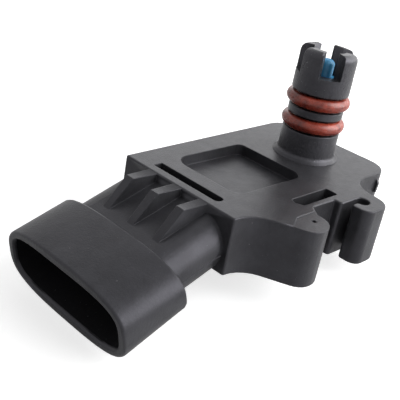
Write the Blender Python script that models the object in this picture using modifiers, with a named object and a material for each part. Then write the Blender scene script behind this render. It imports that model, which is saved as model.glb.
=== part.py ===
"""Manifold absolute pressure sensor: a flat moulded body with a sealed pressure port on top,
a sloping three-way connector at one end and two mounting ears on one long side.

Metres, +Z up. The origin is on the port's axis in the plane of the body's top face. The connector
points to -X and the ears to -Y.
"""
import math

import bmesh
import bpy
from mathutils import Matrix, Vector

MM = 0.001

# Body plate, seen from above
body_front_x = -34.15 * MM
body_far_x = 10.8 * MM
body_left_front = 12.75 * MM
body_left_far = 14.15 * MM
body_right = 12.95 * MM
corner_left_r = 4.3 * MM
corner_right_r = 4.5 * MM
edge_round = 0.3 * MM

# Ears on the right side: a solid boss, a notch, and a hook round an open channel
flank_start_x = -30.3 * MM
flank_end_x = -25.65 * MM
flare_near_r = 5.6 * MM
flare_far_r = 5.3 * MM
boss_x = -23.4 * MM
boss_reach = 9.35 * MM
boss_r = 3.7 * MM
boss_drop = 0.2 * MM
boss_step_y = 4.2 * MM
notch_x = -15.25 * MM
notch_width = 5.9 * MM
notch_wall_y = 3.15 * MM
shelf_y = 4.65 * MM
hook_x = -7.6 * MM
hook_tip_x = -10.95 * MM
hook_reach = 9.5 * MM
hook_r = 3.5 * MM
hook_hole_x = -7.8 * MM
hook_hole_y = 5.8 * MM
hook_hole_r = 1.3 * MM
hook_mouth = 1.1 * MM
dimple_r = 0.45 * MM
dimple_depth = 0.5 * MM

# Recesses in the top face
pocket_front_x = -27.3 * MM
pocket_far_x = -9.6 * MM
pocket_left_y = 8.25 * MM
pocket_right_y = -7.3 * MM
pocket_depth = 2.0 * MM
rail_slot_x = -31.45 * MM
rail_slot_width = 1.9 * MM
rail_slot_length = 15.2 * MM
rail_slot_depth = 3.4 * MM
side_slot_x = -15.0 * MM
side_slot_length = 10.2 * MM
side_slot_width = 2.5 * MM
side_slot_wall = 1.1 * MM
side_slot_depth = 6.5 * MM

# Connector: a shroud and a neck on an axis that slopes down from the body
connector_slope = math.radians(19.0)
connector_axis_u = 4.95 * MM
mouth_distance = 56.45 * MM
mouth_rake = math.radians(6.5)
mouth_axis_u = 4.85 * MM
shroud_length = 11.9 * MM
shroud_half_width = 14.75 * MM
shroud_half_height = 6.0 * MM
shroud_wall_side = 1.65 * MM
shroud_wall_top = 1.62 * MM
shroud_squareness = 3.0
back_half_width = 15.0 * MM
back_half_height = 5.45 * MM
back_axis_u = 5.2 * MM
back_squareness = 2.75
socket_squareness = 3.7
nose_squareness = 6.0
lip_round = 0.45 * MM
socket_depth = 9.0 * MM
nose_half_width = 9.2 * MM
nose_half_height = 2.3 * MM
nose_depth = 13.4 * MM
neck_half_width = 12.1 * MM
neck_offset_y = 0.25 * MM
neck_half_height = 4.7 * MM
neck_end = 29.5 * MM
rib_pitch = 5.95 * MM
rib_offset_y = -0.2 * MM
rib_thick_body = 2.0 * MM
rib_thick_foot = 1.45 * MM
rib_reach = 5.0 * MM
rib_foot = 42.6 * MM
rib_sink = 0.12 * MM
ramp_width = 6.0 * MM
ramp_height = 1.0 * MM
ramp_start = 3.0 * MM
ramp_length = 4.5 * MM
fin_x = 6.5 * MM
fin_thick = 0.55 * MM
fin_reach = 0.5 * MM
fin_top = 1.2 * MM
fin_height = 2.6 * MM

# Pressure port
port_foot_r = 6.3 * MM
port_foot_height = 1.1 * MM
port_r = 5.4 * MM
ring_section = 2.4 * MM
ring_outer_r = 5.95 * MM
ring_low_z = 6.7 * MM
ring_pitch = 4.4 * MM
ring_gap = 0.25 * MM
flange_r = 5.15 * MM
head_r = 5.35 * MM
port_height = 20.5 * MM
head_round = 1.1 * MM
crown_bore_r = 3.0 * MM
crown_slot_angle = math.radians(43.6)
crown_slot_floor = 15.9 * MM
crown_slot_turn = math.radians(46.5)
passage_r = 1.75 * MM
passage_top = 14.0 * MM
pin_clearance = 0.3 * MM
pin_height = 4.7 * MM
pin_depth = 11.0 * MM
pin_flange_thick = 1.0 * MM

# Inside: a board chamber open to the underside, closed by a cover
gap = 0.3 * MM
chamber_front_x = -27.0 * MM
chamber_far_x = 7.5 * MM
chamber_left_y = 10.5 * MM
chamber_right_y = -10.0 * MM
roof_wall = 1.6 * MM
ledge_width = 1.4 * MM
ledge_depth = 2.3 * MM
cover_thick = 1.25 * MM
seal_bead_width = 0.9 * MM
seal_bead_thick = 0.4 * MM
board_room = 2.8 * MM
board_thick = 1.0 * MM
board_clear = 0.5 * MM
board_margin = 0.7 * MM
pillar_r = 1.1 * MM
pillar_inset = 2.0 * MM
terminal_pitch = 5.1 * MM
terminal_width = 1.5 * MM
terminal_thick = 0.8 * MM
terminal_tip = 5.5 * MM
terminal_overlap = 4.0 * MM
cell_size = 8.0 * MM
cell_height = 1.2 * MM
cell_hole_r = 2.2 * MM
glass_size = 2.3 * MM
glass_height = 0.8 * MM
die_size = 1.6 * MM
die_height = 0.4 * MM
cell_seal_r = 3.7 * MM
cell_seal_hole_r = 2.4 * MM
ic_x = -13.5 * MM
ic_length = 5.0 * MM
ic_width = 4.0 * MM
ic_height = 1.2 * MM
chip_length = 2.0 * MM
chip_width = 1.25 * MM
chip_height = 0.9 * MM
resistor_length = 1.6 * MM
resistor_width = 0.8 * MM
resistor_height = 0.5 * MM
chip_row_x = -19.5 * MM
resistor_x = -8.0 * MM
resistor_spread = 3.2 * MM

# The body is as high as the stack inside it: pocket, roof, parts, board, room and cover
chamber_roof = pocket_depth + roof_wall
board_top = chamber_roof + board_room
body_height = board_top + board_thick + board_clear + ledge_depth

for old in list(bpy.data.objects):
    bpy.data.objects.remove(old, do_unlink=True)

scene = bpy.context.scene
sensor = bpy.data.collections.new("pressure_sensor")
cutters = bpy.data.collections.new("cutters")
scene.collection.children.link(sensor)
scene.collection.children.link(cutters)


def material(name, colour, roughness, metallic=0.0):
    mat = bpy.data.materials.new(name)
    mat.use_nodes = True
    shader = mat.node_tree.nodes["Principled BSDF"]
    shader.inputs["Base Color"].default_value = (*colour, 1.0)
    shader.inputs["Roughness"].default_value = roughness
    shader.inputs["Metallic"].default_value = metallic
    return mat


housing_plastic = material("housing_plastic", (0.018, 0.018, 0.02), 0.42)
cover_plastic = material("cover_plastic", (0.02, 0.02, 0.02), 0.5)
ring_rubber = material("ring_rubber", (0.30, 0.07, 0.045), 0.38)
pin_plastic = material("pin_plastic", (0.03, 0.25, 0.52), 0.45)
bead_silicone = material("bead_silicone", (0.45, 0.45, 0.43), 0.6)
board_laminate = material("board_laminate", (0.03, 0.16, 0.07), 0.45)
tin_plate = material("tin_plate", (0.72, 0.72, 0.70), 0.3, 1.0)
cell_ceramic = material("cell_ceramic", (0.75, 0.73, 0.68), 0.55)
cell_glass = material("cell_glass", (0.70, 0.78, 0.76), 0.15)
silicon = material("silicon", (0.16, 0.17, 0.21), 0.2, 0.6)
seal_rubber = material("seal_rubber", (0.03, 0.03, 0.03), 0.7)
chip_epoxy = material("chip_epoxy", (0.025, 0.025, 0.025), 0.5)
capacitor_body = material("capacitor_body", (0.36, 0.22, 0.12), 0.5)


def place(name, mesh, collection, mat=None, matrix=None):
    obj = bpy.data.objects.new(name, mesh)
    collection.objects.link(obj)
    if matrix is not None:
        obj.matrix_world = matrix
    if mat is not None:
        mesh.materials.clear()
        mesh.materials.append(mat)
    if collection is cutters:
        obj.hide_render = True
        obj.display_type = "WIRE"
    return obj


def settle(obj):
    """Write the object's own placing into its mesh."""
    obj.data.transform(obj.matrix_world)
    obj.matrix_world = Matrix.Identity(4)
    return obj


def rounded(corners, steps=7):
    """Outline through corners (x, y, radius), each turned into an arc of that radius."""
    outline = []
    count = len(corners)
    for i, (x, y, radius) in enumerate(corners):
        here = Vector((x, y))
        before = Vector(corners[i - 1][:2]) - here
        after = Vector(corners[(i + 1) % count][:2]) - here
        if radius <= 0.0:
            outline.append(here)
            continue
        before.normalize()
        after.normalize()
        half = before.angle(after) / 2.0
        reach = radius / math.tan(half)
        centre = here + (before + after).normalized() * (radius / math.sin(half))
        first = here + before * reach - centre
        last = here + after * reach - centre
        turn = first.angle_signed(last)
        pieces = max(2, math.ceil(steps * abs(turn) / (math.pi / 2.0) * min(1.0, 0.3 + radius / (2.0 * MM))))
        for k in range(pieces + 1):
            outline.append(centre + Matrix.Rotation(-turn * k / pieces, 2) @ first)
    return [(p.x, p.y) for p in outline]


def flat_curve(name, loops, low, high):
    """Closed mesh from flat outlines (the first is outside, others are holes)."""
    curve = bpy.data.curves.new(name, "CURVE")
    curve.dimensions = "2D"
    curve.fill_mode = "BOTH"
    curve.extrude = (high - low) / 2.0
    for loop in loops:
        spline = curve.splines.new("POLY")
        spline.points.add(len(loop) - 1)
        for point, (x, y) in zip(spline.points, loop):
            point.co = (x, y, 0.0, 1.0)
        spline.use_cyclic_u = True
    source = bpy.data.objects.new(name + "_curve", curve)
    scene.collection.objects.link(source)
    bpy.context.view_layer.update()
    evaluated = source.evaluated_get(bpy.context.evaluated_depsgraph_get())
    mesh = bpy.data.meshes.new_from_object(evaluated)
    bpy.data.objects.remove(source, do_unlink=True)
    bm = bmesh.new()
    bm.from_mesh(mesh)
    bmesh.ops.remove_doubles(bm, verts=bm.verts, dist=0.000002)
    if len(loops) == 1:
        for level in (-curve.extrude, curve.extrude):
            cap = [f for f in bm.faces if all(abs(v.co.z - level) < 0.000001 for v in f.verts)]
            bmesh.ops.dissolve_faces(bm, faces=cap)
    bmesh.ops.translate(bm, verts=bm.verts, vec=(0.0, 0.0, (high + low) / 2.0))
    bmesh.ops.recalc_face_normals(bm, faces=bm.faces)
    bm.to_mesh(mesh)
    bm.free()
    mesh.name = name
    return mesh


def loft(name, rings):
    """Closed mesh through equal rings of points, with a flat cap at each end."""
    bm = bmesh.new()
    rows = [[bm.verts.new(p) for p in ring] for ring in rings]
    count = len(rows[0])
    for a, b in zip(rows, rows[1:]):
        for i in range(count):
            j = (i + 1) % count
            bm.faces.new((a[i], a[j], b[j], b[i]))
    bm.faces.new(rows[0])
    bm.faces.new(rows[-1])
    bmesh.ops.recalc_face_normals(bm, faces=bm.faces)
    mesh = bpy.data.meshes.new(name)
    bm.to_mesh(mesh)
    bm.free()
    return mesh


def turned(name, profile, steps=56):
    """Solid of revolution: (radius, z) pairs that run down the outside, spun by a Screw."""
    mesh = bpy.data.meshes.new(name)
    mesh.from_pydata([(r, 0.0, z) for r, z in profile], [(i, i + 1) for i in range(len(profile) - 1)], [])
    obj = bpy.data.objects.new(name + "_profile", mesh)
    scene.collection.objects.link(obj)
    screw = obj.modifiers.new("Screw", "SCREW")
    screw.steps = steps
    screw.render_steps = steps
    screw.use_merge_vertices = True
    screw.merge_threshold = 0.00001
    bpy.context.view_layer.update()
    evaluated = obj.evaluated_get(bpy.context.evaluated_depsgraph_get())
    result = bpy.data.meshes.new_from_object(evaluated)
    bpy.data.objects.remove(obj, do_unlink=True)
    bm = bmesh.new()
    bm.from_mesh(result)
    bmesh.ops.remove_doubles(bm, verts=bm.verts, dist=0.000005)
    bmesh.ops.recalc_face_normals(bm, faces=bm.faces)
    bm.to_mesh(result)
    bm.free()
    result.name = name
    return result


def block(name, low, high, collection, mat=None, matrix=None, bevel=0.0):
    bm = bmesh.new()
    bmesh.ops.create_cube(bm, size=1.0)
    for v in bm.verts:
        v.co = Vector([low[i] + (v.co[i] + 0.5) * (high[i] - low[i]) for i in range(3)])
    mesh = bpy.data.meshes.new(name)
    bm.to_mesh(mesh)
    bm.free()
    obj = place(name, mesh, collection, mat, matrix)
    if bevel > 0.0:
        soften(obj, bevel, 1)
    return obj


def soften(obj, width, segments=2, angle=35.0):
    bevel = obj.modifiers.new("Bevel", "BEVEL")
    bevel.width = width
    bevel.segments = segments
    bevel.limit_method = "ANGLE"
    bevel.angle_limit = math.radians(angle)
    bevel.use_clamp_overlap = False
    return bevel


def combine(obj, tool, operation):
    boolean = obj.modifiers.new(tool.name, "BOOLEAN")
    boolean.operation = operation
    boolean.solver = "EXACT"
    boolean.object = tool


def join(obj, tool):
    combine(obj, tool, "UNION")


def cut(obj, tool):
    combine(obj, tool, "DIFFERENCE")


def smooth(obj, angle=32.0):
    obj.data.shade_smooth()
    obj.data.set_sharp_from_angle(angle=math.radians(angle))


# The body plate with its ears, from one flat outline
right_y = -body_right
boss_bottom = right_y - boss_reach
hook_bottom = right_y - hook_reach
notch_near = notch_x - notch_width / 2.0
notch_far = notch_x + notch_width / 2.0
notch_y = right_y - notch_wall_y
hole_y = right_y - hook_hole_y
channel_top = right_y - shelf_y
channel_low = channel_top - hook_mouth
hook_back = hook_x + hook_r + 0.6 * MM
hole_start = math.asin((channel_top - hole_y) / hook_hole_r)
hole_end = -math.pi - math.asin((channel_low - hole_y) / hook_hole_r)
hole_steps = 18
hook_hole = []
for k in range(hole_steps + 1):
    t = hole_start + (hole_end - hole_start) * k / hole_steps
    hook_hole.append((hook_hole_x + hook_hole_r * math.cos(t), hole_y + hook_hole_r * math.sin(t), 0.0))
body_corners = [
    (body_front_x, right_y, 0.0),
    (flank_start_x, right_y, flare_near_r),
    (flank_end_x, boss_bottom, 0.87 * boss_r),
    (boss_x + boss_r, boss_bottom, 0.97 * boss_r),
    (boss_x + boss_r, boss_bottom + boss_r + 0.5 * MM, 0.5 * MM),
    (notch_near, notch_y, 0.4 * MM),
    (notch_far, notch_y, 0.3 * MM),
    (notch_far, channel_top, 0.6 * MM),
] + hook_hole + [
    (hook_tip_x, channel_low, 0.6 * MM),
    (hook_tip_x, hook_bottom, 0.54 * hook_r),
    (hook_x + hook_r, hook_bottom, 0.96 * hook_r),
    (hook_back, hook_bottom + hook_r + 0.35 * MM, 0.0),
    (hook_back, right_y, flare_far_r),
    (body_far_x, right_y, corner_right_r),
    (body_far_x, body_left_far, corner_left_r),
    (body_front_x, body_left_front, 0.0),
]
housing = place("housing", flat_curve("housing", [rounded(body_corners)], -body_height, 0.0), sensor, housing_plastic)
soften(housing, edge_round, 2)

# Connector frame: local X runs up the connector's axis into the body, local Z is its upper side
to_connector = Matrix.Rotation(-connector_slope, 4, "Y")
slope_sin = math.sin(connector_slope)
slope_cos = math.cos(connector_slope)


def oval(distance, half_width, half_height, squareness, rake=0.0, axis_u=connector_axis_u, count=56):
    """Rounded oblong ring across the connector's axis, leaning by the rake."""
    ring = []
    for k in range(count):
        t = 2.0 * math.pi * (k + 0.5) / count
        c = math.cos(t)
        s = math.sin(t)
        y = half_width * math.copysign(abs(c) ** (2.0 / squareness), c)
        w = half_height * math.copysign(abs(s) ** (2.0 / squareness), s)
        ring.append(to_connector @ Vector((distance + w * math.tan(rake), y, axis_u + w)))
    return ring


def stadium(distance, half_width, half_height, count=48):
    ring = []
    for k in range(count):
        t = 2.0 * math.pi * (k + 0.5) / count
        shift = math.copysign(half_width - half_height, math.cos(t))
        ring.append(to_connector @ Vector((distance, neck_offset_y + shift + half_height * math.cos(t),
                                           connector_axis_u + half_height * math.sin(t))))
    return ring


mouth_at = -mouth_distance
shroud_back = mouth_at + shroud_length
shroud_rings = []
for inset, ahead in ((lip_round, 0.0), (0.3 * lip_round, 0.3 * lip_round), (0.0, lip_round)):
    shroud_rings.append(oval(mouth_at + ahead, shroud_half_width - inset, shroud_half_height - inset,
                             shroud_squareness, mouth_rake, mouth_axis_u))
for inset, behind in ((0.0, lip_round), (0.3 * lip_round, 0.3 * lip_round), (lip_round, 0.0)):
    shroud_rings.append(oval(shroud_back - behind, back_half_width - inset, back_half_height - inset,
                             back_squareness, axis_u=back_axis_u))
shroud = place("shroud", loft("shroud", shroud_rings), cutters)
join(housing, shroud)

neck_rings = [stadium(shroud_back - 1.5 * MM, neck_half_width, neck_half_height),
              stadium(-neck_end, neck_half_width, neck_half_height)]
neck = place("neck", loft("neck", neck_rings), cutters)
join(housing, neck)

# Three gusset ribs between the body's front face and the neck, thinner at the foot
neck_top_u = connector_axis_u + neck_half_height
foot = to_connector @ Vector((-rib_foot, 0.0, neck_top_u))
root = to_connector @ Vector((-rib_foot + 1.2 * MM, 0.0, neck_top_u - 1.6 * MM))
rib_start_x = body_front_x + 1.2 * MM
rib_outline = [(rib_start_x, -rib_sink), (body_front_x - rib_reach, -rib_sink), (foot.x, foot.z),
               (root.x, root.z), (rib_start_x, -0.55 * body_height)]
for i in range(3):
    y = rib_offset_y + (i - 1) * rib_pitch
    mesh = flat_curve("rib_%d" % (i + 1), [rib_outline], -rib_thick_body / 2.0, rib_thick_body / 2.0)
    for v in mesh.vertices:
        share = min(1.0, max(0.0, (rib_start_x - v.co.x) / (rib_start_x - foot.x)))
        v.co.z *= 1.0 + share * (rib_thick_foot / rib_thick_body - 1.0)
    rib = place("rib_%d" % (i + 1), mesh, cutters, matrix=Matrix.Translation((0.0, y, 0.0))
                @ Matrix.Rotation(math.pi / 2.0, 4, "X"))
    settle(rib)
    join(housing, rib)

# Locking ramp under the shroud, for the plug's latch
under_u = mouth_axis_u - shroud_half_height + 0.2 * MM
ramp_outline = [(mouth_at + ramp_start, under_u + 0.8 * MM), (mouth_at + ramp_start, under_u + 0.1 * MM),
                (mouth_at + ramp_start + ramp_length - 0.8 * MM, under_u - ramp_height),
                (mouth_at + ramp_start + ramp_length, under_u - ramp_height),
                (mouth_at + ramp_start + ramp_length, under_u + 0.8 * MM)]
ramp = place("latch_ramp", flat_curve("latch_ramp", [ramp_outline], -ramp_width / 2.0, ramp_width / 2.0), cutters,
             matrix=to_connector @ Matrix.Rotation(math.pi / 2.0, 4, "X"))
settle(ramp)
join(housing, ramp)

# A thin fin on the right wall beside the port
fin_outline = [(right_y + 0.6 * MM, -fin_top), (right_y - 0.2 * fin_reach, -fin_top),
               (right_y - fin_reach, -fin_top - 0.7 * MM), (right_y - 0.8 * fin_reach, -fin_top - fin_height),
               (right_y + 0.6 * MM, -fin_top - fin_height)]
fin = place("fin", flat_curve("fin", [fin_outline], -fin_thick / 2.0, fin_thick / 2.0), cutters,
            matrix=Matrix.Translation((fin_x, 0.0, 0.0)) @ Matrix.Rotation(math.pi / 2.0, 4, "Z")
            @ Matrix.Rotation(math.pi / 2.0, 4, "X"))
settle(fin)
join(housing, fin)

# The port: foot, two ring grooves with a flange between, and the head
ring_tube = ring_section / 2.0
ring_centre_r = ring_outer_r - ring_tube
groove_r = ring_centre_r - ring_tube - ring_gap
groove_half = ring_tube + ring_gap
ring_high_z = ring_low_z + ring_pitch
port_profile = [
    (0.0, port_height),
    (head_r - head_round, port_height),
    (head_r - 0.45 * head_round, port_height - 0.2 * head_round),
    (head_r - 0.12 * head_round, port_height - 0.6 * head_round),
    (head_r, port_height - 1.15 * head_round),
    (head_r, ring_high_z + groove_half + 0.2 * MM),
    (head_r - 0.2 * MM, ring_high_z + groove_half),
    (groove_r, ring_high_z + groove_half),
    (groove_r, ring_high_z - groove_half),
    (flange_r - 0.15 * MM, ring_high_z - groove_half),
    (flange_r, ring_high_z - groove_half - 0.15 * MM),
    (flange_r, ring_low_z + groove_half + 0.15 * MM),
    (flange_r - 0.15 * MM, ring_low_z + groove_half),
    (groove_r, ring_low_z + groove_half),
    (groove_r, ring_low_z - groove_half),
    (port_r - 0.15 * MM, ring_low_z - groove_half),
    (port_r, ring_low_z - groove_half - 0.15 * MM),
    (port_r, port_foot_height),
    (port_r + 0.3 * (port_foot_r - port_r), 0.4 * port_foot_height),
    (port_foot_r, 0.15 * MM),
    (port_foot_r, -0.8 * MM),
    (0.0, -0.8 * MM),
]
port = place("port", turned("port", port_profile), cutters)
join(housing, port)

# Recesses in the top face
pocket_corners = [
    (pocket_front_x, pocket_right_y, 2.4 * MM),
    (pocket_far_x, pocket_right_y, 2.4 * MM),
    (pocket_far_x, pocket_left_y, 1.2 * MM),
    (pocket_front_x, pocket_left_y, 3.4 * MM),
]
pocket = place("pocket", flat_curve("pocket", [rounded(pocket_corners)], -pocket_depth, 1.0 * MM), cutters)
cut(housing, pocket)

rail_half = rail_slot_width / 2.0
rail_corners = [
    (rail_slot_x - rail_half, -rail_slot_length / 2.0, 0.92 * rail_half),
    (rail_slot_x + rail_half, -rail_slot_length / 2.0, 0.92 * rail_half),
    (rail_slot_x + rail_half, rail_slot_length / 2.0, 0.25 * rail_half),
    (rail_slot_x - rail_half, rail_slot_length / 2.0, 0.25 * rail_half),
]
rail_slot = place("rail_slot", flat_curve("rail_slot", [rounded(rail_corners, 5)], -rail_slot_depth, 1.0 * MM), cutters)
cut(housing, rail_slot)

side_outer = notch_y + side_slot_wall
side_inner = side_outer + side_slot_width
side_start = side_slot_x - side_slot_length / 2.0
side_end = side_slot_x + side_slot_length / 2.0
side_corners = [
    (side_start + 0.8 * MM, side_outer, 0.2 * MM),
    (side_end, side_outer, 0.3 * MM),
    (side_end, side_inner, 0.3 * MM),
    (side_start + 0.5 * MM, side_inner, 0.3 * MM),
    (side_start, side_inner - 1.1 * MM, 0.3 * MM),
]
side_slot = place("side_slot", flat_curve("side_slot", [rounded(side_corners, 4)], -side_slot_depth, 1.0 * MM), cutters)
cut(housing, side_slot)

# The boss is a little lower than the plate, with a small dimple
drop_corners = [
    (boss_x - boss_r - 2.0 * MM, boss_bottom - 2.0 * MM, 0.0),
    (notch_near + 0.2 * MM, boss_bottom - 2.0 * MM, 0.0),
    (notch_near + 0.2 * MM, right_y - boss_step_y, 0.0),
    (boss_x - 0.55 * MM, right_y - boss_step_y, 0.0),
    (boss_x - boss_r - 2.0 * MM, right_y - boss_step_y - 3.0 * MM, 0.0),
]
boss_top = place("boss_top", flat_curve("boss_top", [rounded(drop_corners)], -boss_drop, 1.0 * MM), cutters)
cut(housing, boss_top)
dimple = place("dimple", turned("dimple", [(0.0, 1.0 * MM), (dimple_r, 1.0 * MM),
                                          (dimple_r, -boss_drop - dimple_depth), (0.0, -boss_drop - dimple_depth)], 16),
               cutters, matrix=Matrix.Translation((boss_x + 1.2 * MM, right_y - 6.25 * MM, 0.0)))
settle(dimple)
cut(housing, dimple)

through = 1.0 * MM

# The connector's socket: the shroud's open space, then a narrower nose recess round the blades
inner_width = shroud_half_width - shroud_wall_side
inner_height = shroud_half_height - shroud_wall_top
inner_round = 0.3 * MM
socket_rings = [
    oval(mouth_at - 3.0 * MM, inner_width + inner_round, inner_height + inner_round, socket_squareness, mouth_rake,
         mouth_axis_u),
    oval(mouth_at, inner_width + inner_round, inner_height + inner_round, socket_squareness, mouth_rake, mouth_axis_u),
    oval(mouth_at + inner_round, inner_width, inner_height, socket_squareness, mouth_rake, mouth_axis_u),
    oval(mouth_at + socket_depth, inner_width - 0.3 * MM, inner_height - 0.3 * MM, socket_squareness),
]
socket = place("socket", loft("socket", socket_rings), cutters)
cut(housing, socket)
nose_rings = [oval(mouth_at + socket_depth - 1.0 * MM, nose_half_width, nose_half_height, nose_squareness,
                   count=32),
              oval(mouth_at + nose_depth, nose_half_width - 0.2 * MM, nose_half_height - 0.1 * MM,
                   nose_squareness, count=32)]
nose = place("nose", loft("nose", nose_rings), cutters)
cut(housing, nose)

# The board chamber and the ledge for its cover, open to the underside
bottom_z = -body_height
roof_z = -chamber_roof
ledge_z = bottom_z + ledge_depth
chamber_corners = [
    (chamber_front_x, chamber_right_y, 1.0 * MM),
    (chamber_far_x, chamber_right_y, 1.0 * MM),
    (chamber_far_x, chamber_left_y, 1.0 * MM),
    (chamber_front_x, chamber_left_y, 1.0 * MM),
]
chamber = place("chamber", flat_curve("chamber", [rounded(chamber_corners, 4)], bottom_z - through, roof_z), cutters)
pillar_spots = [(x, y) for x in (chamber_front_x + pillar_inset, chamber_far_x - pillar_inset)
                for y in (chamber_right_y + pillar_inset, chamber_left_y - pillar_inset)]
board_top_z = -board_top
for i, (x, y) in enumerate(pillar_spots):
    pillar = place("pillar_%d" % (i + 1), turned("pillar", [(0.0, roof_z + through), (pillar_r, roof_z + through),
                                                            (pillar_r, board_top_z + gap), (0.0, board_top_z + gap)], 20),
                   cutters, matrix=Matrix.Translation((x, y, 0.0)))
    settle(pillar)
    cut(chamber, pillar)
cut(housing, chamber)


def grown(corners, amount, radius):
    xs = [c[0] for c in corners]
    ys = [c[1] for c in corners]
    low_x, high_x = min(xs) - amount, max(xs) + amount
    low_y, high_y = min(ys) - amount, max(ys) + amount
    return [(low_x, low_y, radius), (high_x, low_y, radius), (high_x, high_y, radius), (low_x, high_y, radius)]


ledge_corners = grown(chamber_corners, ledge_width, 1.8 * MM)
ledge = place("ledge", flat_curve("ledge", [rounded(ledge_corners, 5)], bottom_z - through, ledge_z), cutters)
cut(housing, ledge)

# The port's passage down to the pressure cell, and the crown's slots
passage = place("passage", turned("passage", [(0.0, port_height + through), (crown_bore_r, port_height + through),
                                              (crown_bore_r, passage_top), (passage_r, passage_top),
                                              (passage_r, roof_z - through), (0.0, roof_z - through)], 44), cutters)
cut(housing, passage)
slot_reach = head_r + through
slot_half = crown_slot_angle / 2.0
for i in range(4):
    middle = crown_slot_turn + i * math.pi / 2.0
    wedge = [(0.3 * MM * math.cos(middle + math.pi), 0.3 * MM * math.sin(middle + math.pi))]
    wedge += [(slot_reach * math.cos(middle + t), slot_reach * math.sin(middle + t)) for t in (-slot_half, slot_half)]
    slot = place("crown_slot_%d" % (i + 1), flat_curve("crown_slot", [wedge], crown_slot_floor, port_height + through),
                 cutters)
    cut(housing, slot)

# Terminals: flat blades on the connector's axis, bent level to lie over the board
terminal_half = terminal_thick / 2.0
level_z = board_top_z + gap + terminal_half
bend_x = (level_z * slope_cos - connector_axis_u) / slope_sin
tip = to_connector @ Vector((mouth_at + terminal_tip, 0.0, connector_axis_u))
terminal_end_x = chamber_front_x + board_margin + terminal_overlap


def strip(points, half):
    """Outline of a bent flat strip of even thickness round a centre line."""
    left = []
    right = []
    for i, p in enumerate(points):
        a = (points[i] - points[i - 1]).normalized() if i > 0 else (points[1] - points[0]).normalized()
        b = (points[i + 1] - points[i]).normalized() if i < len(points) - 1 else a
        mean = (a + b).normalized()
        across = Vector((-mean.y, mean.x)) * (half / max(0.3, mean.dot(a)))
        left.append(p + across)
        right.append(p - across)
    return [(p.x, p.y) for p in left + right[::-1]]


line = [Vector((tip.x, tip.z)), Vector((bend_x, level_z)), Vector((terminal_end_x, level_z))]
longer = [line[0] + (line[0] - line[1]).normalized() * 0.2 * MM, line[1],
          Vector((chamber_front_x + 0.6 * MM, level_z))]
sideways = Matrix.Rotation(math.pi / 2.0, 4, "X")
for i in range(3):
    y = (i - 1) * terminal_pitch
    half = terminal_width / 2.0
    way = place("terminal_way_%d" % (i + 1), flat_curve("terminal_way", [strip(longer, terminal_half + gap)],
                                                        -half - gap, half + gap), cutters,
                matrix=Matrix.Translation((0.0, y, 0.0)) @ sideways)
    settle(way)
    cut(housing, way)
    blade = place("terminal_%d" % (i + 1), flat_curve("terminal_%d" % (i + 1), [strip(line, terminal_half)], -half, half),
                  sensor, tin_plate, Matrix.Translation((0.0, y, 0.0)) @ sideways)
    settle(blade)
    soften(blade, 0.12 * MM, 1)

# Sealing rings
for name, z in (("ring_lower", ring_low_z), ("ring_upper", ring_high_z)):
    bpy.ops.mesh.primitive_torus_add(major_radius=ring_centre_r, minor_radius=ring_tube, major_segments=56,
                                     minor_segments=14, location=(0.0, 0.0, z))
    ring = bpy.context.object
    ring.name = name
    ring.data.name = name
    for owner in list(ring.users_collection):
        owner.objects.unlink(ring)
    sensor.objects.link(ring)
    ring.data.materials.append(ring_rubber)
    smooth(ring, 60.0)

# The damping pin in the port, standing on the step of the passage
pin_r = passage_r - pin_clearance
flange_low = passage_top + gap
flange_high = flange_low + pin_flange_thick
pin_top = passage_top + pin_height
pin_profile = [(0.0, pin_top)]
for k in range(1, 5):
    t = math.pi / 2.0 * k / 4.0
    pin_profile.append((pin_r * math.sin(t), pin_top - 0.6 * pin_r * (1.0 - math.cos(t))))
pin_profile += [(pin_r, flange_high), (crown_bore_r - pin_clearance, flange_high),
                (crown_bore_r - pin_clearance, flange_low), (pin_r, flange_low),
                (pin_r, passage_top - pin_depth + 0.5 * MM), (pin_r - 0.4 * MM, passage_top - pin_depth),
                (0.0, passage_top - pin_depth)]
pin = place("damping_pin", turned("damping_pin", pin_profile, 32), sensor, pin_plastic)
smooth(pin)

# Cover and its sealing bead
cover_corners = grown(ledge_corners, -gap, 1.5 * MM)
bead_high = ledge_z - gap
bead_low = bead_high - seal_bead_thick
cover_high = bead_low - gap
cover = place("rear_cover", flat_curve("rear_cover", [rounded(cover_corners, 5)], cover_high - cover_thick, cover_high),
              sensor, cover_plastic)
soften(cover, 0.25 * MM, 1)
bead_out = grown(chamber_corners, ledge_width - gap, 1.5 * MM)
bead_in = grown(chamber_corners, ledge_width - gap - seal_bead_width, 1.1 * MM)
bead = place("cover_seal", flat_curve("cover_seal", [rounded(bead_out, 4), rounded(bead_in, 4)], bead_low, bead_high),
             sensor, bead_silicone)

# Circuit board under the pillars
board_corners = grown(chamber_corners, -board_margin, 0.8 * MM)
board = place("circuit_board", flat_curve("circuit_board", [rounded(board_corners, 4)], board_top_z - board_thick,
                                          board_top_z), sensor, board_laminate)
part_z = board_top_z + gap

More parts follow.
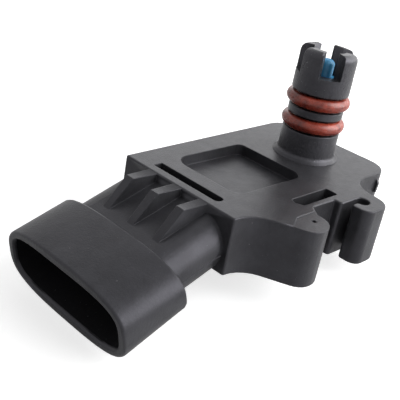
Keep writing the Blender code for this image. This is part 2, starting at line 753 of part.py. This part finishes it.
# Pressure cell below the port
cell = block("cell_carrier", (-cell_size / 2.0, -cell_size / 2.0, part_z),
             (cell_size / 2.0, cell_size / 2.0, part_z + cell_height), sensor, cell_ceramic, bevel=0.2 * MM)
cell_hole = place("cell_hole", turned("cell_hole", [(0.0, part_z + cell_height + through),
                                                    (cell_hole_r, part_z + cell_height + through),
                                                    (cell_hole_r, part_z - through), (0.0, part_z - through)], 28),
                  cutters)
cut(cell, cell_hole)
glass = block("cell_glass", (-glass_size / 2.0, -glass_size / 2.0, part_z),
              (glass_size / 2.0, glass_size / 2.0, part_z + glass_height), sensor, cell_glass)
die_low = part_z + glass_height + gap
die = block("sensor_die", (-die_size / 2.0, -die_size / 2.0, die_low),
            (die_size / 2.0, die_size / 2.0, die_low + die_height), sensor, silicon)
seal_low = part_z + cell_height + gap
seal_profile = [(cell_seal_hole_r, roof_z - gap), (cell_seal_r, roof_z - gap), (cell_seal_r, seal_low),
                (cell_seal_hole_r, seal_low), (cell_seal_hole_r, roof_z - gap)]
cell_seal = place("cell_seal", turned("cell_seal", seal_profile, 36), sensor, seal_rubber)

# Signal conditioning parts on the board
block("signal_ic", (ic_x - ic_length / 2.0, -ic_width / 2.0, part_z), (ic_x + ic_length / 2.0, ic_width / 2.0,
      part_z + ic_height), sensor, chip_epoxy, bevel=0.15 * MM)
for i in range(4):
    y = (i - 1.5) * terminal_pitch
    block("capacitor_%d" % (i + 1), (chip_row_x - chip_length / 2.0, y - chip_width / 2.0, part_z),
          (chip_row_x + chip_length / 2.0, y + chip_width / 2.0, part_z + chip_height), sensor, capacitor_body,
          bevel=0.1 * MM)
for i in range(2):
    y = (i - 0.5) * 2.0 * resistor_spread
    block("resistor_%d" % (i + 1), (resistor_x - resistor_width / 2.0, y - resistor_length / 2.0, part_z),
          (resistor_x + resistor_width / 2.0, y + resistor_length / 2.0, part_z + resistor_height), sensor, chip_epoxy)

smooth(housing)
bpy.context.view_layer.update()
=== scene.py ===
import math

import bmesh
import bpy
from mathutils import Matrix, Vector


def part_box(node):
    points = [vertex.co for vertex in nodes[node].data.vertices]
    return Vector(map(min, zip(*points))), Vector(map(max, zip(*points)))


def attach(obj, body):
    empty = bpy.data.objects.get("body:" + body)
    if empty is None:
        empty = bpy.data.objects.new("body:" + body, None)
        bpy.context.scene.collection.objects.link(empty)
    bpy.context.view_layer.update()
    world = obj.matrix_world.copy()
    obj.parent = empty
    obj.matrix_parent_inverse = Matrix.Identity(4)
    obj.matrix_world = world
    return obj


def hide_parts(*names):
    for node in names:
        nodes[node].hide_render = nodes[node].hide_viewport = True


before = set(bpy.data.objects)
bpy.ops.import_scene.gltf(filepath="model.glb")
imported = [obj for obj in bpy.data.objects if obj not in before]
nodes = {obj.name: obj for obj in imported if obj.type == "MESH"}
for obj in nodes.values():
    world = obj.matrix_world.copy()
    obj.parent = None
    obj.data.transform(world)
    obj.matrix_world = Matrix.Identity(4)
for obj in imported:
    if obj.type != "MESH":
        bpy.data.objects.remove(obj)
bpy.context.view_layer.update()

MM = 0.001


# The housing is one moulding of black glass-filled plastic: body, ears, port, neck and plug shroud.
# It comes out of the mould with a fine grain, draw marks along its walls and softly broken edges,
# and nothing is machined on it afterwards.

def deselect_all():
    for other in bpy.context.selected_objects:
        other.select_set(False)


def only(obj):
    """Make one object the selected and active one."""
    deselect_all()
    obj.select_set(True)
    bpy.context.view_layer.objects.active = obj


def solid_copy(node, name):
    """A merged copy of a CAD piece, its flat faces made whole again."""
    copy = bpy.data.objects.new(name, nodes[node].data.copy())
    bpy.context.scene.collection.objects.link(copy)
    only(copy)
    bpy.ops.object.mode_set(mode="EDIT")
    bpy.ops.mesh.select_all(action="SELECT")
    bpy.ops.mesh.remove_doubles(threshold=0.004 * MM)
    bpy.ops.mesh.dissolve_limited(angle_limit=math.radians(0.6))
    bpy.ops.object.mode_set(mode="OBJECT")
    copy.data.materials.clear()
    return copy


def shade(obj, angle):
    """Shade smooth over edges that turn less than the angle."""
    only(obj)
    bpy.ops.object.shade_smooth_by_angle(angle=math.radians(angle))


def weigh_normals(obj):
    """Let the large flat faces set the shading, so that small fillets don't bend it."""
    only(obj)
    weighted = obj.modifiers.new("flat_faces", "WEIGHTED_NORMAL")
    weighted.keep_sharp = True
    weighted.weight = 50
    bpy.ops.object.modifier_apply(modifier=weighted.name)


def wire(tree, source, source_socket, target, target_socket):
    tree.links.new(source.outputs[source_socket], target.inputs[target_socket])


def finish_material(name, metallic=0.0):
    mat = bpy.data.materials.new(name)
    mat.use_nodes = True
    tree = mat.node_tree
    shader = tree.nodes["Principled BSDF"]
    shader.inputs["Metallic"].default_value = metallic
    coords = tree.nodes.new("ShaderNodeTexCoord")
    return mat, tree, shader, coords


def noise(tree, coords, scale, detail, rough, stretch=(1.0, 1.0, 1.0)):
    """A cloudy pattern on the piece's own coordinates."""
    mapping = tree.nodes.new("ShaderNodeMapping")
    mapping.inputs["Scale"].default_value = stretch
    wire(tree, coords, "Object", mapping, "Vector")
    node = tree.nodes.new("ShaderNodeTexNoise")
    node.inputs["Scale"].default_value = scale
    node.inputs["Detail"].default_value = detail
    node.inputs["Roughness"].default_value = rough
    wire(tree, mapping, "Vector", node, "Vector")
    return node


def tones(tree, pattern, low, high, low_colour, high_colour):
    """Colours from one tone to another where the pattern goes from low to high."""
    node = tree.nodes.new("ShaderNodeValToRGB")
    node.color_ramp.elements[0].position = low
    node.color_ramp.elements[1].position = high
    node.color_ramp.elements[0].color = (*low_colour, 1.0)
    node.color_ramp.elements[1].color = (*high_colour, 1.0)
    wire(tree, pattern, "Fac", node, "Fac")
    return node


def roughness(tree, pattern, shader, smooth, rough, pattern_low=0.0, pattern_high=1.0):
    """Roughness that goes from smooth to rough with the pattern."""
    node = tree.nodes.new("ShaderNodeMapRange")
    node.inputs["From Min"].default_value = pattern_low
    node.inputs["From Max"].default_value = pattern_high
    node.inputs["To Min"].default_value = smooth
    node.inputs["To Max"].default_value = rough
    wire(tree, pattern, "Fac", node, "Value")
    wire(tree, node, "Result", shader, "Roughness")


def relief(tree, pattern, strength, height):
    """A fine relief that the pattern raises on the surface."""
    node = tree.nodes.new("ShaderNodeBump")
    node.inputs["Strength"].default_value = strength
    node.inputs["Distance"].default_value = height
    wire(tree, pattern, "Fac", node, "Height")
    return node


def moulded_black(name, dark, light, smooth, rough, edge_radius, gloss, grain_height=0.06 * MM,
                  speck_start=0.735):
    """Black moulded plastic: clouded tone, pale specks, draw marks, grain and broken edges."""
    mat, tree, shader, coords = finish_material(name)
    shader.inputs["Specular IOR Level"].default_value = gloss
    shader.inputs["Specular Tint"].default_value = (0.90, 0.885, 1.0, 1.0)

    cloud = noise(tree, coords, scale=240.0, detail=4.0, rough=0.6)
    tone = tones(tree, cloud, low=0.3, high=0.75, low_colour=dark, high_colour=light)
    speck = noise(tree, coords, scale=2400.0, detail=2.0, rough=0.5)
    speck_fade = 0.07
    speck_tone = tones(tree, speck, low=speck_start, high=speck_start + speck_fade,
                       low_colour=(0.0, 0.0, 0.0), high_colour=(0.11, 0.11, 0.115))
    add = tree.nodes.new("ShaderNodeMix")
    add.data_type = "RGBA"
    add.blend_type = "ADD"
    add.inputs["Factor"].default_value = 1.0
    tree.links.new(tone.outputs["Color"], add.inputs["A"])
    tree.links.new(speck_tone.outputs["Color"], add.inputs["B"])
    tree.links.new(add.outputs["Result"], shader.inputs["Base Color"])

    scuff = noise(tree, coords, scale=520.0, detail=6.0, rough=0.75, stretch=(1.0, 1.0, 0.35))
    roughness(tree, scuff, shader, smooth, rough, pattern_low=0.2, pattern_high=0.8)

    edge = tree.nodes.new("ShaderNodeBevel")
    edge.samples = 6
    edge.inputs["Radius"].default_value = edge_radius
    draw_mark = noise(tree, coords, scale=1500.0, detail=3.0, rough=0.6, stretch=(1.0, 1.0, 0.05))
    marked = relief(tree, draw_mark, strength=0.5, height=0.03 * MM)
    grain = noise(tree, coords, scale=2600.0, detail=4.0, rough=0.65)
    grained = relief(tree, grain, strength=0.6, height=grain_height)
    wire(tree, edge, "Normal", marked, "Normal")
    wire(tree, marked, "Normal", grained, "Normal")
    wire(tree, grained, "Normal", shader, "Normal")
    return mat


housing = solid_copy("housing", "housing_moulding")

# The step on the boss fades out towards the body's flank, where the moulding has sunk a little.
boss_sink = 0.2 * MM
sink_slack = 0.01 * MM
boss_side = -17.2 * MM
fade_start = -27.2 * MM
fade_end = -23.9 * MM
for corner in housing.data.vertices:
    place = corner.co
    if abs(place.z + boss_sink) < sink_slack and place.y < boss_side and place.x < fade_end:
        place.z = -boss_sink * max(0.0, (place.x - fade_start) / (fade_end - fade_start))

# The socket's walls are cut once all round, a little inside the mouth: the lip and the start of the
# walls keep the housing's plastic, and the walls behind the cut get a near-black, dull copy of it:
# painted shade for the dark depth of the socket.
mouth_middle = Vector((-54.95 * MM, 0.0, -13.79 * MM))
mouth_inward = Vector((0.9763, 0.0, 0.2164))
behind_mouth = Vector((-53.0 * MM, 0.0, -13.6 * MM))
lit_depth = 0.6 * MM
socket_axis = Vector((0.9455, 0.0, 0.3256))
socket_up = Vector((-0.3256, 0.0, 0.9455))
socket_reach = 14.0 * MM
socket_half_height = 4.75 * MM


def in_socket(middle, normal):
    """Whether a face of the housing stands within the socket and looks into it."""
    off = middle - mouth_middle
    within = off.dot(socket_axis) < socket_reach and abs(off.dot(socket_up)) < socket_half_height
    return within and (behind_mouth - middle).dot(normal) > 0.0


only(housing)
bpy.ops.object.mode_set(mode="EDIT")
bpy.ops.mesh.select_mode(type="FACE")
bpy.ops.mesh.select_all(action="DESELECT")
edit = bmesh.from_edit_mesh(housing.data)
for face in edit.faces:
    if in_socket(face.calc_center_median(), face.normal):
        face.select = True
bmesh.update_edit_mesh(housing.data)
bpy.ops.mesh.bisect(plane_co=mouth_middle + mouth_inward * lit_depth, plane_no=mouth_inward,
                    threshold=0.001 * MM)
bpy.ops.object.mode_set(mode="OBJECT")
shade(housing, angle=30.0)
weigh_normals(housing)

housing_black = moulded_black("housing_black", dark=(0.020, 0.020, 0.0218),
                              light=(0.038, 0.038, 0.042), smooth=0.28, rough=0.44,
                              edge_radius=0.22 * MM, gloss=0.34)
# Painted shade: the housing's plastic made near black and dull, for the socket's depth.
socket_painted_shade = moulded_black("socket_painted_shade", dark=(0.002, 0.002, 0.0022),
                             light=(0.004, 0.004, 0.0044), smooth=0.62, rough=0.8,
                             edge_radius=0.15 * MM, gloss=0.12)
port_black = moulded_black("port_black", dark=(0.013, 0.013, 0.0142),
                           light=(0.034, 0.034, 0.0374), smooth=0.21, rough=0.42,
                           edge_radius=0.16 * MM, gloss=0.5, grain_height=0.12 * MM,
                           speck_start=0.71)
for mat in (housing_black, socket_painted_shade, port_black):
    housing.data.materials.append(mat)
# Faces in the socket behind the cut take the painted shade, and the port's faces the glossier port
# plastic.
socket_shade_index = 1
port_index = 2
port_foot = 0.3 * MM
port_reach = 7.0 * MM
for face in housing.data.polygons:
    middle = face.center
    if in_socket(middle, face.normal) and (middle - mouth_middle).dot(mouth_inward) > lit_depth:
        face.material_index = socket_shade_index
    elif middle.z > port_foot and middle.xy.length < port_reach:
        face.material_index = port_index
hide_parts("housing")
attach(housing, "root")


# A thin flash of plastic stands along the neck's side, where the two halves of the mould met. It is
# highest beside the body, where it has torn a little.

flash_start = Vector((-42.3 * MM, -11.84 * MM, -9.55 * MM))
flash_end = Vector((-34.5 * MM, -11.84 * MM, -6.8 * MM))
flash_line = flash_end - flash_start
flash_slope = math.atan2(flash_line.z, flash_line.x)
flash_thick = 0.26 * MM
flash_high = 0.16 * MM
flash_cuts = 23
least_proud = 0.03
wave_proud = 0.05
torn_proud = 0.28
torn_from = 0.86
quick_wave = 37.0
slow_wave = 11.0
edge_thinning = 0.75
deselect_all()
bpy.ops.mesh.primitive_cube_add(size=1.0, location=(flash_start + flash_end) / 2.0,
                                rotation=(0.0, -flash_slope, 0.0),
                                scale=(flash_line.length, flash_thick, flash_high))
flash = bpy.context.object
flash.name = "neck_flash"
bpy.ops.object.transform_apply(location=True, rotation=True, scale=True)
bpy.ops.object.mode_set(mode="EDIT")
bpy.ops.mesh.select_mode(type="EDGE")
bpy.ops.mesh.select_all(action="DESELECT")
edit = bmesh.from_edit_mesh(flash.data)
for edge in edit.edges:
    if edge.calc_length() > flash_line.length / 2.0:
        edge.select = True
bmesh.update_edit_mesh(flash.data)
bpy.ops.mesh.subdivide(number_cuts=flash_cuts)
edit = bmesh.from_edit_mesh(flash.data)
for corner in edit.verts:
    way = (corner.co.x - flash_start.x) / flash_line.x
    if corner.co.y < flash_start.y:
        wave = 0.5 + 0.5 * math.sin(quick_wave * way) * math.sin(slow_wave * way + 1.0)
        torn = max(0.0, way - torn_from) / (1.0 - torn_from)
        proud = least_proud + wave_proud * wave + torn_proud * torn
        corner.co.y = flash_start.y - proud * MM
        corner.co.z += (flash_start.z + flash_line.z * way - corner.co.z) * edge_thinning
bmesh.update_edit_mesh(flash.data)
bpy.ops.object.mode_set(mode="OBJECT")
shade(flash, angle=40.0)
flash.data.materials.append(housing_black)
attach(flash, "root")


# Two sealing rings of brown-red rubber sit in the port's grooves. Each is a plain moulded ring,
# rounder and finer here than its solid, with a thin film of assembly grease.

def greased_rubber(name, dark, light):
    mat, tree, shader, coords = finish_material(name)
    cloud = noise(tree, coords, scale=520.0, detail=5.0, rough=0.65)
    tone = tones(tree, cloud, low=0.36, high=0.66, low_colour=dark, high_colour=light)
    wire(tree, tone, "Color", shader, "Base Color")
    film = noise(tree, coords, scale=1100.0, detail=4.0, rough=0.65, stretch=(1.0, 1.0, 3.0))
    roughness(tree, film, shader, smooth=0.18, rough=0.42, pattern_low=0.3, pattern_high=0.7)
    wire(tree, relief(tree, film, strength=0.35, height=0.05 * MM), "Normal", shader, "Normal")
    return mat


ring_red = greased_rubber("ring_red", dark=(0.125, 0.017, 0.0115), light=(0.41, 0.060, 0.031))
for node in ("ring_lower", "ring_upper"):
    low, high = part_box(node)
    tube = (high.z - low.z) / 2.0
    outer = (high.x - low.x) / 2.0
    deselect_all()
    bpy.ops.mesh.primitive_torus_add(major_radius=outer - tube, minor_radius=tube,
                                     major_segments=144, minor_segments=36,
                                     location=(low + high) / 2.0)
    ring = bpy.context.object
    ring.name = node + "_rubber"
    bpy.ops.object.transform_apply(location=True, rotation=True, scale=True)
    bpy.ops.object.shade_smooth()
    ring.data.materials.append(ring_red)
    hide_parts(node)
    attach(ring, "root")


# The blue damping pin stands in the port's bore and shows between the crown's posts. It is a
# turned moulding with a domed end and a collar that rests on the step of the bore.

def fine_finish(name, dark, light, smooth, rough):
    """An even, fine surface: moulded plastic, ceramic, silicone or epoxy."""
    mat, tree, shader, coords = finish_material(name)
    cloud = noise(tree, coords, scale=600.0, detail=3.0, rough=0.5)
    tone = tones(tree, cloud, low=0.3, high=0.7, low_colour=dark, high_colour=light)
    wire(tree, tone, "Color", shader, "Base Color")
    fine = noise(tree, coords, scale=2600.0, detail=3.0, rough=0.6)
    roughness(tree, fine, shader, smooth, rough)
    wire(tree, relief(tree, fine, strength=0.2, height=0.02 * MM), "Normal", shader, "Normal")
    return mat


def break_edges(obj, width, segments, angle):
    """Round the sharp edges a little, as a mould does."""
    only(obj)
    bevel = obj.modifiers.new("broken_edges", "BEVEL")
    bevel.width = width
    bevel.segments = segments
    bevel.limit_method = "ANGLE"
    bevel.angle_limit = math.radians(angle)
    bevel.use_clamp_overlap = True
    bpy.ops.object.modifier_apply(modifier=bevel.name)


pin = solid_copy("damping_pin", "damping_pin_blue")
break_edges(pin, width=0.12 * MM, segments=2, angle=50.0)
shade(pin, angle=40.0)
pin_blue = fine_finish("pin_blue", dark=(0.043, 0.25, 0.49), light=(0.08, 0.39, 0.67),
                       smooth=0.3, rough=0.5)
pin.data.materials.append(pin_blue)
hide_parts("damping_pin")
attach(pin, "root")


# Three tin-plated blades carry the signal through the neck. Each is blanked from strip, its end
# coined thinner so that the plug's contacts slide on.

def bright_metal(name, dark, light):
    mat, tree, shader, coords = finish_material(name, metallic=1.0)
    cloud = noise(tree, coords, scale=900.0, detail=4.0, rough=0.6, stretch=(0.2, 1.0, 1.0))
    tone = tones(tree, cloud, low=0.3, high=0.75, low_colour=dark, high_colour=light)
    wire(tree, tone, "Color", shader, "Base Color")
    drawn = noise(tree, coords, scale=4200.0, detail=2.0, rough=0.5, stretch=(0.06, 1.0, 1.0))
    roughness(tree, drawn, shader, smooth=0.18, rough=0.42)
    wire(tree, relief(tree, drawn, strength=0.15, height=0.01 * MM), "Normal", shader, "Normal")
    return mat


terminal_tin = bright_metal("terminal_tin", dark=(0.58, 0.58, 0.56), light=(0.74, 0.74, 0.72))
for node in ("terminal_1", "terminal_2", "terminal_3"):
    blade = solid_copy(node, node + "_blade")
    shade(blade, angle=30.0)
    blade.data.materials.append(terminal_tin)
    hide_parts(node)
    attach(blade, "root")


# The rear cover closes the board chamber from below. It is a plain black moulding with a shallow
# panel, bedded on a bead of silicone.

panel_rim = 0.8 * MM
panel_sink = 0.25 * MM
cover = solid_copy("rear_cover", "rear_cover_panel")
only(cover)
bpy.ops.object.mode_set(mode="EDIT")
bpy.ops.mesh.select_mode(type="FACE")
bpy.ops.mesh.select_all(action="DESELECT")
edit = bmesh.from_edit_mesh(cover.data)
lowest = min(edit.faces, key=lambda face: (round(face.normal.z, 3), -face.calc_area()))
lowest.select = True
bmesh.update_edit_mesh(cover.data)
bpy.ops.mesh.inset(thickness=panel_rim, depth=0.0)
bpy.ops.mesh.inset(thickness=panel_sink, depth=-panel_sink)
bpy.ops.object.mode_set(mode="OBJECT")
shade(cover, angle=30.0)
cover_black = moulded_black("cover_black", dark=(0.022, 0.022, 0.024), light=(0.040, 0.040, 0.044),
                            smooth=0.42, rough=0.6, edge_radius=0.15 * MM, gloss=0.47)
cover.data.materials.append(cover_black)
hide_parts("rear_cover")
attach(cover, "root")


# Sealed inside the body: a green laminate board with chip parts soldered on it, the pressure cell
# of ceramic, glass and silicon, its gasket, and the cured silicone round the cover.

def woven_laminate(name, dark, light):
    mat, tree, shader, coords = finish_material(name)
    cloud = noise(tree, coords, scale=400.0, detail=4.0, rough=0.6)
    tone = tones(tree, cloud, low=0.35, high=0.7, low_colour=dark, high_colour=light)
    wire(tree, tone, "Color", shader, "Base Color")
    weave = tree.nodes.new("ShaderNodeTexChecker")
    weave.inputs["Scale"].default_value = 2400.0
    wire(tree, coords, "Object", weave, "Vector")
    roughness(tree, weave, shader, smooth=0.32, rough=0.42)
    return mat


board_green = woven_laminate("board_green", dark=(0.02, 0.13, 0.05), light=(0.035, 0.19, 0.08))
silicone_grey = fine_finish("silicone_grey", dark=(0.36, 0.36, 0.34), light=(0.48, 0.48, 0.46),
                            smooth=0.45, rough=0.65)
ceramic_white = fine_finish("ceramic_white", dark=(0.66, 0.64, 0.59), light=(0.78, 0.76, 0.71),
                            smooth=0.4, rough=0.6)
seal_black = fine_finish("seal_black", dark=(0.02, 0.02, 0.02), light=(0.04, 0.04, 0.04),
                         smooth=0.5, rough=0.75)
epoxy_black = fine_finish("epoxy_black", dark=(0.018, 0.018, 0.018), light=(0.03, 0.03, 0.03),
                          smooth=0.4, rough=0.6)
die_silicon = bright_metal("die_silicon", dark=(0.16, 0.17, 0.21), light=(0.24, 0.25, 0.30))
glass_clear = fine_finish("glass_clear", dark=(0.66, 0.74, 0.72), light=(0.76, 0.83, 0.81),
                          smooth=0.05, rough=0.15)
ceramic_brown = fine_finish("ceramic_brown", dark=(0.28, 0.17, 0.09), light=(0.40, 0.26, 0.15),
                            smooth=0.4, rough=0.6)
sealed_inside = {
    "circuit_board": board_green,
    "cover_seal": silicone_grey,
    "cell_carrier": ceramic_white,
    "cell_seal": seal_black,
    "cell_glass": glass_clear,
    "sensor_die": die_silicon,
    "signal_ic": epoxy_black,
    "capacitor_1": ceramic_brown,
    "capacitor_2": ceramic_brown,
    "capacitor_3": ceramic_brown,
    "capacitor_4": ceramic_brown,
    "resistor_1": epoxy_black,
    "resistor_2": epoxy_black,
}
for node, mat in sealed_inside.items():
    nodes[node].data.materials.clear()
    nodes[node].data.materials.append(mat)


# The table top is a pale sheet that the sensor lies on, resting on its shroud and the far end of
# its body. It is white to the eye and keeps the soft shadow.

def either(tree, first, first_socket, second, second_socket):
    """The greater of two signals."""
    node = tree.nodes.new("ShaderNodeMath")
    node.operation = "MAXIMUM"
    wire(tree, first, first_socket, node, 0)
    wire(tree, second, second_socket, node, 1)
    return node


table_slope = math.radians(8.4)
table_point = Vector((-53.6 * MM, 0.0, -19.72 * MM))
table_size = 3.0
white_to_the_eye = 0.70
white_in_gloss = 0.15
deselect_all()
bpy.ops.mesh.primitive_plane_add(size=table_size, location=table_point,
                                 rotation=(0.0, -table_slope, 0.0))
table = bpy.context.object
table.name = "table_top"
table_white = bpy.data.materials.new("table_white")
table_white.use_nodes = True
tree = table_white.node_tree
shader = tree.nodes["Principled BSDF"]
shader.inputs["Base Color"].default_value = (0.8, 0.8, 0.8, 1.0)
shader.inputs["Roughness"].default_value = 0.7
glow = tree.nodes.new("ShaderNodeEmission")
glow.inputs["Color"].default_value = (1.0, 1.0, 1.0, 1.0)
path = tree.nodes.new("ShaderNodeLightPath")
in_gloss = tree.nodes.new("ShaderNodeMath")
in_gloss.operation = "MULTIPLY"
in_gloss.inputs[1].default_value = white_in_gloss
wire(tree, path, "Is Glossy Ray", in_gloss, 0)
seen = either(tree, path, "Is Camera Ray", path, "Is Transmission Ray")
share = tree.nodes.new("ShaderNodeMath")
share.operation = "MULTIPLY_ADD"
share.inputs[1].default_value = white_to_the_eye
wire(tree, seen, 0, share, 0)
wire(tree, in_gloss, 0, share, 2)
wire(tree, share, 0, glow, "Strength")
both = tree.nodes.new("ShaderNodeAddShader")
wire(tree, shader, "BSDF", both, 0)
wire(tree, glow, "Emission", both, 1)
wire(tree, both, "Shader", tree.nodes["Material Output"], "Surface")
table.data.materials.append(table_white)


# Soft studio light in a pale room: two large softboxes stand at the sensor's right, one high and
# one low, and a third stands far behind it and lights the top faces evenly.

def softbox(name, towards, distance, size, power, colour=(1.0, 1.0, 1.0)):
    """A square lamp that looks at the sensor from the given side."""
    light = bpy.data.lights.new(name, "AREA")
    light.shape = "SQUARE"
    light.size = size
    light.energy = power
    light.color = colour
    lamp = bpy.data.objects.new(name, light)
    bpy.context.scene.collection.objects.link(lamp)
    aim = Vector((-20.0 * MM, -2.0 * MM, -4.0 * MM))
    away = Vector(towards).normalized()
    lamp.location = aim + away * distance
    lamp.rotation_mode = "QUATERNION"
    lamp.rotation_quaternion = away.to_track_quat("Z", "Y")


softbox("softbox_right", towards=(0.42, -0.70, 0.58), distance=0.55, size=0.55, power=3.0)
softbox("softbox_low", towards=(0.80, -0.58, 0.29), distance=0.75, size=1.20, power=9.6)
softbox("softbox_far", towards=(0.80, 0.60, 0.34), distance=1.30, size=1.10, power=3.0,
        colour=(0.985, 0.99, 1.0))

room_light = 0.20
room_seen = 1.0
world = bpy.data.worlds.new("pale_room")
bpy.context.scene.world = world
world.use_nodes = True
tree = world.node_tree
backdrop = tree.nodes["Background"]
backdrop.inputs["Color"].default_value = (1.0, 1.0, 1.0, 1.0)
path = tree.nodes.new("ShaderNodeLightPath")
seen = either(tree, path, "Is Camera Ray", path, "Is Transmission Ray")
seen_or_mirrored = either(tree, seen, 0, path, "Is Glossy Ray")
strength = tree.nodes.new("ShaderNodeMapRange")
strength.inputs["To Min"].default_value = room_light
strength.inputs["To Max"].default_value = room_seen
wire(tree, seen_or_mirrored, 0, strength, "Value")
wire(tree, strength, "Result", backdrop, "Strength")


# The camera stands where the photograph was taken from, as its straight edges and ellipses tell:
# low in front of the plug's corner, and rolled a little.

camera_place = Vector((-115.02 * MM, -74.61 * MM, 50.0 * MM))
camera_azimuth = math.radians(-49.47)
camera_elevation = math.radians(25.26)
camera_roll = math.radians(10.87)
camera_data = bpy.data.cameras.new("camera")
camera_data.sensor_width = 36.0
camera_data.lens = 67.49
camera_data.clip_start = 5.0 * MM
camera = bpy.data.objects.new("camera", camera_data)
bpy.context.scene.collection.objects.link(camera)
facing = Matrix.Rotation(camera_azimuth, 4, "Z")
raised = Matrix.Rotation(math.pi / 2.0 - camera_elevation, 4, "X")
rolled = Matrix.Rotation(camera_roll, 4, "Z")
camera.matrix_world = Matrix.Translation(camera_place) @ facing @ raised @ rolled
bpy.context.scene.camera = camera
bpy.context.scene.view_settings.view_transform = "Standard"

bpy.context.view_layer.update()
